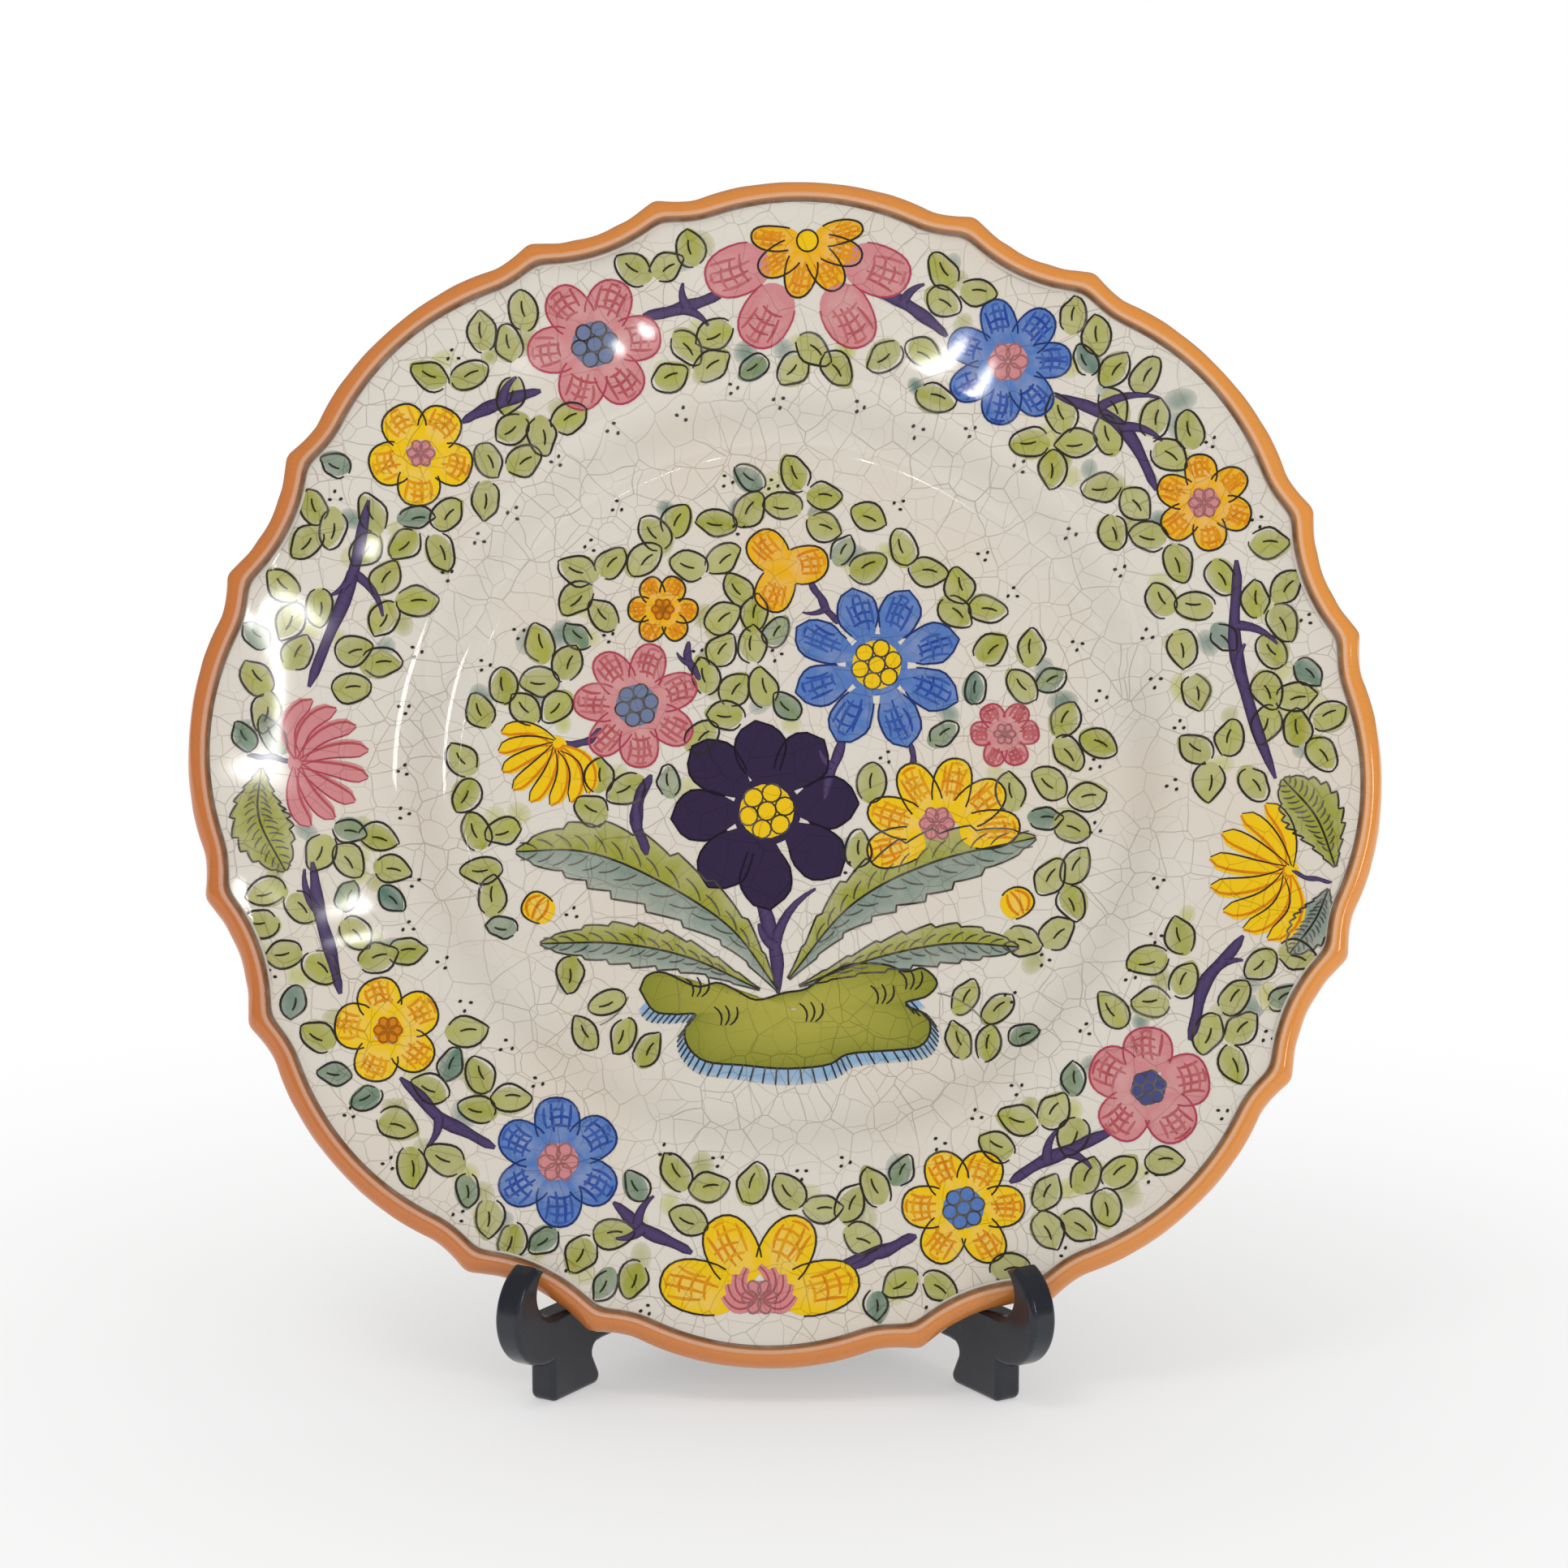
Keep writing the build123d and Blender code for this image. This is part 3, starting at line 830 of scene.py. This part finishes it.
def side_sprays():
    """The pink carnation on the left of the wreath and the yellow one on the right."""
    fan_flower((-137.0, 4.5), 0, 21.0, PINKS, 150)
    twig([(-150, 6), (-137, 4.5)], 1.8)
    feathered_leaf([(-146, 3), (-146.5, -11), (-139, -26)], 15, OLIVE, OLIVE)
    leaf((-143, 12), 120, 13, 6.5, TEAL)
    fan_flower((141.0, -26.0), 180, 23.0, YELLOWS, 140)
    twig([(152, -29), (141, -26)], 1.4)
    feathered_leaf([(153, -25), (148, -11), (139, 0)], 15, OLIVE, OLIVE)
    feathered_leaf([(151, -31), (147, -40), (140, -49)], 10, TEAL, TEAL)


# The wreath's branches: points as (angle, radius), then side twigs as (share, angle, length).
wreath_twigs = [
    ([(132, 136), (127, 134), (122, 130)], [(0.6, 60, 8)]),
    ([(107, 138), (102, 137), (97, 140)], [(0.5, 330, 9), (0.6, 100, 7)]),
    ([(80, 141), (75, 139), (70, 134)], [(0.45, 40, 8)]),
    ([(55, 133), (47, 138), (38, 133)], [(0.35, 10, 18), (0.6, 340, 12)]),
    ([(146, 141), (157, 134), (169, 136)], [(0.45, 305, 15), (0.40, 228, 9)]),
    ([(26, 141), (14, 131), (0, 137)], [(0.35, 335, 13), (0.6, 80, 9)]),
    ([(190, 134), (198, 135), (206, 137)], [(0.4, 110, 13)]),
    ([(218, 135), (225, 134), (232, 130)], [(0.5, 250, 9)]),
    ([(248, 127), (253, 131), (259, 134)], [(0.4, 60, 9), (0.5, 200, 8)]),
    ([(276, 136), (281, 134), (286, 132)], [(0.5, 200, 10)]),
    ([(299, 128), (306, 129), (313, 134)], [(0.4, 70, 9), (0.55, 330, 9)]),
    ([(341, 135), (334, 130), (327, 134)], [(0.4, 20, 9)]),
]
twig_points = []
for points, forks in wreath_twigs:
    spots = [polar(radius, angle) for angle, radius in points]
    twig(spots, 3.7, forks)
    twig_points.extend(smooth_path(spots, 9).tolist())

top_flower()
bottom_flower()
side_sprays()


# The bouquet's stems: points, width, then side twigs as above.
bouquet_stems = [
    ([(-1.6, -59), (-3.5, -42), (-10, -26)], 4, [(0.45, 55, 20), (0.4, 125, 8)]),
    ([(-39, -20), (-42, -8), (-38, 3)], 3.6, [(0.45, 75, 13)]),
    ([(11, -4), (14, 6), (18, 17)], 3, [(0.5, 130, 6)]),
    ([(37, -2), (36.5, 4), (36, 12)], 2.2),
    ([(15, 46), (11, 52), (7, 59)], 2.4, [(0.4, 190, 7)]),
    ([(-24, 30), (-27, 35), (-27.5, 41)], 2.4, [(0.5, 140, 5)]),
    ([(-52, 16), (-57, 12), (-63, 12)], 2.2),
]


def mound():
    """The green hillock at the foot of the bouquet, with a blue shadow line hatched in ink."""
    crown = [(-41, -58), (-39, -54), (-34, -53), (-25, -57), (-19, -56), (-14, -58), (-8, -61), (0, -59),
             (6, -58), (12, -54), (19, -51), (28, -51), (34, -53), (39, -52), (43, -56), (40, -60),
             (34, -62), (40, -65), (41, -70), (38, -74), (31, -75), (18, -76), (12, -79), (0, -80),
             (-12, -79), (-22, -78), (-27, -74), (-28, -69), (-25, -65), (-31, -65), (-37, -64)]
    outline = smooth_path(crown + [crown[0]], 120)
    rows = np.array([spot for spot in outline[len(outline) * 2 // 5:] if spot[1] < -60.5])
    outward = rows - (0.0, -66.0)
    outward /= np.linalg.norm(outward, axis=1)[:, None]
    edge = rows + (outward * 0.5 + (0.0, -0.6)) * 4.4
    t = np.linspace(0, 1, 4)[:, None]
    strip = rows[:, None] * (1 - t) + edge[:, None] * t
    colours = np.broadcast_to(rgba(srgb(128, 170, 206), 0.85), (len(rows), 4, 4)).copy()
    colours[:, -1, 3] = 0.45
    wash.grid(strip, colours)
    for k in range(1, len(rows) - 1):
        pen(curve(rows[k], edge[k], 0.0, 3), 0.5, 0.95, 0.3)
    fill(body_colour, outline, rgba(srgb(174, 168, 72), 1.1), rgba(srgb(134, 136, 46), 1.1))
    pen(wavy(outline, 0.2), 0.6, 1.1, 0.1)
    for tuft in ((-26, -60), (-18, -68), (6, -67), (26, -62), (34, -58)):
        for k in range(3):
            start = tuft + np.array([k * 1.3, 0.0])
            pen(curve(start, start + polar(5.5, 110 - 20 * k), -0.2, 5), 0.6, 1.1, 0.5)


def bouquet():
    """Flowers over a hillock, in the well."""
    for stem in bouquet_stems:
        twig(*stem)
    mound()
    for points, width, light, dark in (
        ([(-2, -58), (-16, -40), (-38, -26), (-57, -19), (-76, -19)], 18, TEAL, OLIVE),
        ([(-7, -58), (-27, -49), (-47, -45), (-69, -45)], 11, TEAL, OLIVE),
        ([(4, -57), (26, -49), (47, -45), (66, -46)], 10.5, OLIVE, TEAL),
        ([(1, -55), (19, -34), (42, -22), (71, -15)], 16.5, OLIVE, TEAL),
    ):
        feathered_leaf(points, width, light, dark)
    round_flower((-34.7, 50.2), 9.8, ORANGES, AMBER_EYE)
    petal_ring((-0.5, 62.0), 6.5, (10, 130, 250), 13.0, 11.0, ORANGES)
    round_flower((-42.0, 22.7), 17.5, PINKS, SLATE_EYE, 20, 7)
    star_flower((26.1, 34.3), 24.5, BLUES, YELLOW_EYE, 20)
    round_flower((62.4, 14.5), 9.5, PINKS, PINK_EYE)
    star_flower((-5.1, -7.5), 27.0, PLUMS, YELLOW_EYE, 5, hatched=False)
    petal_ring((44.5, -14.0), 13.5, (196, 160, 118, 78, 40, 6), 17.0, 11.0, YELLOWS)
    scribble((43.0, -11.0), 5.5, PINK)
    fan_flower((-64.0, 12.0), 235, 19.0, YELLOWS, 130)
    for place, turn in (((-69.5, -35.0), 150), ((65.5, -33.5), 30)):
        round_petal(place, turn, 9.5, 8.5, *YELLOWS, hatched=False)
        for k in range(3):
            ends = [place + polar(3.6, turn + sign * (70 + 20 * k)) for sign in (1, -1)]
            stroke(brush, curve(*ends, 0.35 - 0.25 * k, 7), 0.9, rgba(AMBER), 0.5)


# The parts of the bouquet that leaves keep clear of.
bouquet_spots = [
    (-34.7, 50.2, 10.5), (0, 63, 12.5), (-42, 22.7, 18), (26.1, 34.3, 24.5), (62.4, 14.5, 10.5),
    (-5.1, -7.5, 25), (43.2, -10, 19), (-70, 3, 14), (-69.5, -35, 6.5), (65.5, -33.5, 6.5),
    (-40, -10, 7), (0, -45, 22), (-30, -38, 16), (-55, -22, 12),
    (-50, -45, 10), (30, -38, 16), (52, -20, 12), (52, -45, 10),
    (-70, -21, 9), (0, -68, 34), (-34, -66, 14), (34, -66, 14),
    (66, -17, 8), (-67, -45, 7), (-38, -24, 9),
]
taken.extend(bouquet_spots)
bouquet()


LEAF_TRIES = 9000
DOT_TRIES = 1500
# Shortest and longest, then narrowest and widest leaf of each colour.
LEAF_SIZES = {TEAL: ((8.8, 10.0), (6.2, 7.0)), OLIVE: ((10.4, 12.0), (7.6, 8.8))}


def gap(place, spots):
    """Distance from a place to the nearest of some round spots."""
    return min(math.hypot(place[0] - u, place[1] - v) - radius for u, v, radius in spots)


def near(place, others, distance):
    """Whether any of the others lies within this distance."""
    return any(math.hypot(place[0] - u, place[1] - v) < distance for u, v in others)


def allowed(place):
    """Leaves stay on the flange or in the well, and clear of the lip."""
    return from_middle(place) < 91.0 or 112.0 < from_middle(place) < 151.0


def lay_leaves(pick, outward_of, spacing, margin):
    """Lays sprigs of three leaves at random places, then single leaves in the gaps between them."""
    laid = []

    def try_leaf(place, degrees, colour):
        if gap(place, taken) > margin and allowed(place) and not near(place, laid, spacing):
            laid.append(tuple(place))
            lengths, widths = LEAF_SIZES[colour]
            leaf(place, degrees, rng.uniform(*lengths), rng.uniform(*widths), colour)

    for attempt in range(LEAF_TRIES):
        single = attempt > LEAF_TRIES // 3
        node = pick(single)
        if node is None or gap(node, taken) <= 0 or near(node, laid, spacing * 0.8):
            continue
        outward = outward_of(node) + rng.uniform(-25, 25)
        for share in (0,) if single else (-1, 0, 1):
            degrees = outward + share * rng.uniform(52, 66)
            reach = rng.uniform(5.8, 6.6)
            colour = TEAL if rng.random() < (0.5 if share == 0 else 0.06) else OLIVE
            try_leaf(node + polar(reach, degrees), degrees, colour)
    return laid


def pick_wreath(single):
    """A place for leaves on the flange, off the branches."""
    angle = rng.uniform(0, 360)
    place = polar(rng.uniform(120.0 if single else 117.0, 149.0), angle)
    return None if near(place, twig_points, 4.6) else place


def wreath_outward(node):
    side = 1 if math.hypot(*node) > 132 else -1
    return math.degrees(math.atan2(side * node[1], side * node[0])) + rng.choice((-40, 0, 40))


def pick_bouquet(single):
    """A place for leaves among the flowers in the well."""
    place = (rng.uniform(-88, 86), rng.uniform(-48, 88))
    too_far = gap(place, bouquet_spots) > (8 if single else 12)
    return None if too_far or place[1] < -42 - 0.1 * abs(place[0]) else place


def bouquet_outward(node):
    return math.degrees(math.atan2(node[1] + 45, node[0])) + rng.choice((-30, 0, 30))


leaves = lay_leaves(pick_wreath, wreath_outward, 7.9, 2.4)
leaves += lay_leaves(pick_bouquet, bouquet_outward, 7.7, 2.6)


def foot_sprigs():
    """Leaves on thin stalks at either side of the hillock."""
    for spots, stem in (
        ([(-50, -62, 200), (-46, -71, 250), (-56, -70, 120), (-38, -75, 60)], [(-44, -60), (-52, -68)]),
        ([(51, -60, 60), (60, -63, 40), (49, -72, 110), (57, -73, 80)], [(43, -59), (56, -67)]),
    ):
        for u, v, degrees in spots:
            leaf((u, v), degrees, 11.0, 7.0, OLIVE)
        pen(curve(stem[0], stem[1], 0.1), 0.4, 0.7, 0.3)
    leaf((67, -71), 20, 9.0, 6.0, TEAL)


foot_sprigs()

for u, v in leaves:
    if rng.random() < 0.75:
        spot = (u + rng.uniform(-6.5, 6.5), v + rng.uniform(-6.5, 6.5))
        if allowed(spot):
            loose_blob(spot, rng.uniform(4.5, 7.0), rng.choice((LIME, OLIVE, TEAL, LIME)))


def pick_dots():
    """A place on the flange's edges or round the bouquet."""
    if rng.random() < 0.55:
        place = polar(rng.choice((rng.uniform(107, 113), rng.uniform(149, 153))), rng.uniform(0, 360))
    else:
        place = (rng.uniform(-92, 92), rng.uniform(-60, 88))
        if gap(place, bouquet_spots) > 24 or from_middle(place) > 92:
            return None
    return None if near(place, leaves, 6.0) else tuple(place)


groups = []
for _ in range(DOT_TRIES):
    place = pick_dots()
    if place is not None and gap(place, taken) > 2.0 and not near(place, groups, 12.0):
        groups.append(place)
        dots(place)

# --- The plate's pieces ---
paint_finish = glaze_material("painted_glaze", CREAM, painted=True)
front_finish = glaze_material("cream_glaze", CREAM, painted=False)
back_finish = glaze_material("back_glaze", srgb(218, 210, 196), painted=False, crack_strength=0.35)
lip_finish = glaze_material("orange_glaze", CREAM, painted=True, crack_strength=0.12, roughness=0.09)

for layer in (touches, wash, body_colour, brush, line):
    layer.finish(paint_finish)


GLAZE_EDGE = 152.5          # mean radius of the front glaze
EDGE_BLEND = 125.0          # radius where its rings start to follow the lobes


def rings(radii):
    """u and v of closed rings, from one row of radii for each."""
    radii = np.array(radii)
    return (radii * np.cos(EDGE_ANGLES)).ravel(), (radii * np.sin(EDGE_ANGLES)).ravel()


def front_glaze():
    """The glazed front, from the middle to under the lip."""
    inner = np.concatenate([
        np.linspace(0.5, FLOOR_RADIUS - 2, 30), np.linspace(FLOOR_RADIUS, FLANGE_START + 4, 40),
        np.linspace(FLANGE_START + 5, GLAZE_EDGE, 34),
    ])
    edge = inset_radii(LIP_WIDTH - 0.4)
    share = np.clip((inner - EDGE_BLEND) / (GLAZE_EDGE - EDGE_BLEND), 0, 1)[:, None]
    share = share * share * (3 - 2 * share)
    u, v = rings(inner[:, None] + share * (edge - GLAZE_EDGE))
    points, normals = front_points(u, v)
    faces = ring_faces(len(inner), EDGE_STEPS)
    faces.append(tuple(range(EDGE_STEPS)))
    piece = make_piece("glazed_front", points, faces, normals, None, front_finish)
    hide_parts("front_glaze")


# The lip's section as inset from the outline and level, from its inner foot round to the back.
LIP_SECTION = [
    (7.1, -2.9), (6.8, -2.3), (6.6, -1.9), (6.4, -1.5), (6.1, -1.0), (5.8, -0.6), (5.5, -0.3),
    (5.25, -0.12), (5.0, -0.04), (4.7, 0.0), (4.3, 0.0), (3.8, -0.03), (3.2, -0.12), (2.6, -0.30),
    (2.1, -0.58), (1.6, -1.0), (1.2, -1.5), (0.8, -2.2), (0.45, -3.1), (0.2, -4.2), (0.08, -5.3),
    (0.35, -6.3), (0.9, -7.0), (1.8, -7.55), (3.0, -7.8), (4.6, -7.8), (6.4, -7.7), (7.4, -7.1),
]
DARK_LINE = np.array(srgb(112, 76, 50))
# Painted light and shade: a lit and a shaded copy of the lip's orange.
PAINTED_LIT_ORANGE = np.array(srgb(232, 152, 70))
PAINTED_SHADED_ORANGE = np.array(srgb(200, 118, 62))


def lip_colour(index, inset, level):
    """Paint of one ring of the lip: orange with painted light and shade, lighter towards the right and
    browner to the left, with a dark line inside the ridge.
    """
    # Painted light and shade: the orange turns lighter towards the right of the plate and browner towards
    # the left.
    painted_light_side = (0.5 + 0.5 * np.cos(EDGE_ANGLES - math.radians(20)))[:, None]
    orange = PAINTED_SHADED_ORANGE * (1 - painted_light_side) + PAINTED_LIT_ORANGE * painted_light_side
    density = 1.2
    if index < 2:
        density = 0.0
    elif level > -3 and inset > 5.7:
        orange[:] = DARK_LINE
        density = 0.5 if index == 2 else 0.9
    elif level > -3 and inset > 5.1:
        orange = orange * 0.5 + DARK_LINE * 0.5
    # Paler ridge top: thin glaze on the edge, together with a painted highlight along it.
    elif level > -0.2 and inset > 3.9:
        orange = orange * 0.68 + np.array(CREAM) * 0.32
    elif inset > 4.5 and level < -7:
        density = 0.15
    return np.hstack([orange, np.full((EDGE_STEPS, 1), density)])


def lip():
    """The raised lip: cream inner slope, dark line, a ridge painted paler (thin glaze on the edge and a
    painted highlight) and a broad orange band outside it.
    """
    u, v = rings([inset_radii(inset) for inset, level in LIP_SECTION])
    levels = np.repeat([level for inset, level in LIP_SECTION], EDGE_STEPS) + hand_level(u, v) * 0.5
    paint = np.concatenate([lip_colour(index, *spot) for index, spot in enumerate(LIP_SECTION)])
    points = CENTRE + (u[:, None] * RIGHT + v[:, None] * UP + levels[:, None] * FRONT) * MM
    faces = [face[::-1] for face in ring_faces(len(LIP_SECTION), EDGE_STEPS)]
    piece = make_piece("lip_glaze", points, faces, None, paint, lip_finish)
    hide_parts("rim_glaze")


front_glaze()
lip()


black = stand_material()
finishes = {
    "plate_body": clay_material(), "back_glaze": back_finish, "stand_left": black,
    "stand_right": black, "hinge_pin": pin_material(),
}
for node, material in finishes.items():
    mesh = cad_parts[node].data
    mesh.materials.clear()
    mesh.materials.append(material)

# --- Studio ---
FLOOR_SIZE = 12.0
AMBIENT = 0.66              # strength of the white surroundings as light
MIRRORED = 0.22             # and as seen mirrored in the glaze


def floor_material():
    """Pale paper that fades into the white background away from the object."""
    nodes = Nodes("studio_floor")
    nodes.surface({"Base Color": (0.88, 0.88, 0.88), "Roughness": 0.9, "Specular IOR Level": 0.1})
    distance = nodes.add("VectorMath", {0: nodes.place()}, operation="LENGTH").outputs["Value"]
    paper = nodes.tree.nodes["Principled BSDF"].outputs[0]
    glow = nodes.add("Emission", {}).outputs[0]
    blend = nodes.add("MixShader", {0: nodes.ramp(distance, -0.30, 0.50), 1: paper, 2: glow})
    nodes.feed(nodes.tree.nodes["Material Output"], {"Surface": blend.outputs[0]})
    return nodes.owner


def studio_floor():
    half = FLOOR_SIZE / 2
    mesh = bpy.data.meshes.new("studio_floor")
    corners = [(-half, -half, 0), (half, -half, 0), (half, half, 0), (-half, half, 0)]
    mesh.from_pydata(corners, [], [(0, 1, 2, 3)])
    mesh.materials.append(floor_material())
    piece = bpy.data.objects.new("studio_floor", mesh)
    link(piece)


def studio_world():
    """White surroundings that are dimmer as light, and dimmer still as mirrored in the glaze."""
    nodes = Nodes("studio", bpy.data.worlds)
    seen = nodes.add("LightPath", {}).outputs
    inputs = {"Value": seen["Is Glossy Ray"], "To Min": AMBIENT, "To Max": MIRRORED}
    lit = nodes.add("MapRange", inputs).outputs["Result"]
    inputs = {"Value": seen["Is Camera Ray"], "To Min": lit, "To Max": 1.0}
    strength = nodes.add("MapRange", inputs).outputs["Result"]
    nodes.feed(nodes.tree.nodes["Background"], {"Color": (1.0, 1.0, 1.0), "Strength": strength})
    return nodes.owner


studio_floor()
bpy.context.scene.world = studio_world()
bpy.context.scene.view_settings.view_transform = "Standard"


def aim(thing, direction):
    """Turns a camera or light to look this way, with its top up."""
    thing.rotation_mode = "QUATERNION"
    thing.rotation_quaternion = direction.to_track_quat("-Z", "Y")


CAMERA_ELEVATION = math.radians(9.5)
CAMERA_DISTANCE = 1.10
LENS = 91.85
LENS_SHIFT = (-0.0005, -0.0130)     # right and up, as shares of the picture's width
camera_data = bpy.data.cameras.new("camera")
camera = bpy.data.objects.new("camera", camera_data)
link(camera)
look = Vector((0, math.cos(CAMERA_ELEVATION), -math.sin(CAMERA_ELEVATION)))
camera.location = Vector(CENTRE) - look * CAMERA_DISTANCE
aim(camera, look)
camera_data.lens = LENS
camera_data.shift_x, camera_data.shift_y = LENS_SHIFT
bpy.context.scene.camera = camera


def area_light(name, place, target, width, height, power, colour=(1, 1, 1)):
    """A rectangular light that shines from a place towards a target."""
    data = bpy.data.lights.new(name, "AREA")
    data.shape = "RECTANGLE"
    data.size, data.size_y = width, height
    data.energy = power
    data.color = colour
    light = bpy.data.objects.new(name, data)
    light.location = place
    aim(light, Vector(target) - Vector(place))
    link(light)
    return light


def section_normal(angle, radius):
    """Normal of the ideal dish, without flutes and unevenness."""
    step = 0.1
    rise = (section_level(radius + step) - section_level(radius - step)) / (2 * step)
    inward = -polar(float(rise), angle)
    return Vector(FRONT + inward[0] * RIGHT + inward[1] * UP).normalized()


WINDOW_DISTANCE = 6.0


def window_light(index, angle, radius, width, height, power):
    """A small window whose mirror image falls on the dish at this angle and radius."""
    u, v = polar(radius, angle)
    spot = Vector(front_points([u], [v])[0][0])
    facing = section_normal(angle, radius)
    to_camera = (Vector(camera.location) - spot).normalized()
    bounce = 2 * to_camera.dot(facing) * facing - to_camera
    area_light(f"window_{index}", spot + bounce * WINDOW_DISTANCE, spot, width, height, power)


# Angle and radius of each window's mirror image on the dish, then its width, height and power.
for index, window in enumerate([
    (104, 147, 0.05, 0.09, 0.6), (117, 146, 0.04, 0.07, 0.4), (151, 150, 0.03, 0.09, 0.4),
    (175, 150, 0.025, 0.12, 0.4), (191, 148, 0.03, 0.09, 0.4), (203, 150, 0.03, 0.05, 0.2),
    (72, 133, 0.04, 0.17, 1.0), (60, 131, 0.035, 0.17, 0.9),
]):
    window_light(index, *window)

area_light("side_window", (1.15, -1.25, 0.55), CENTRE, 0.22, 0.5, 3.2)
soft_top = area_light("soft_top", (-0.5, -0.8, 1.8), CENTRE, 0.6, 0.5, 6.0, (1.0, 0.99, 0.97))
soft_top.visible_glossy = False
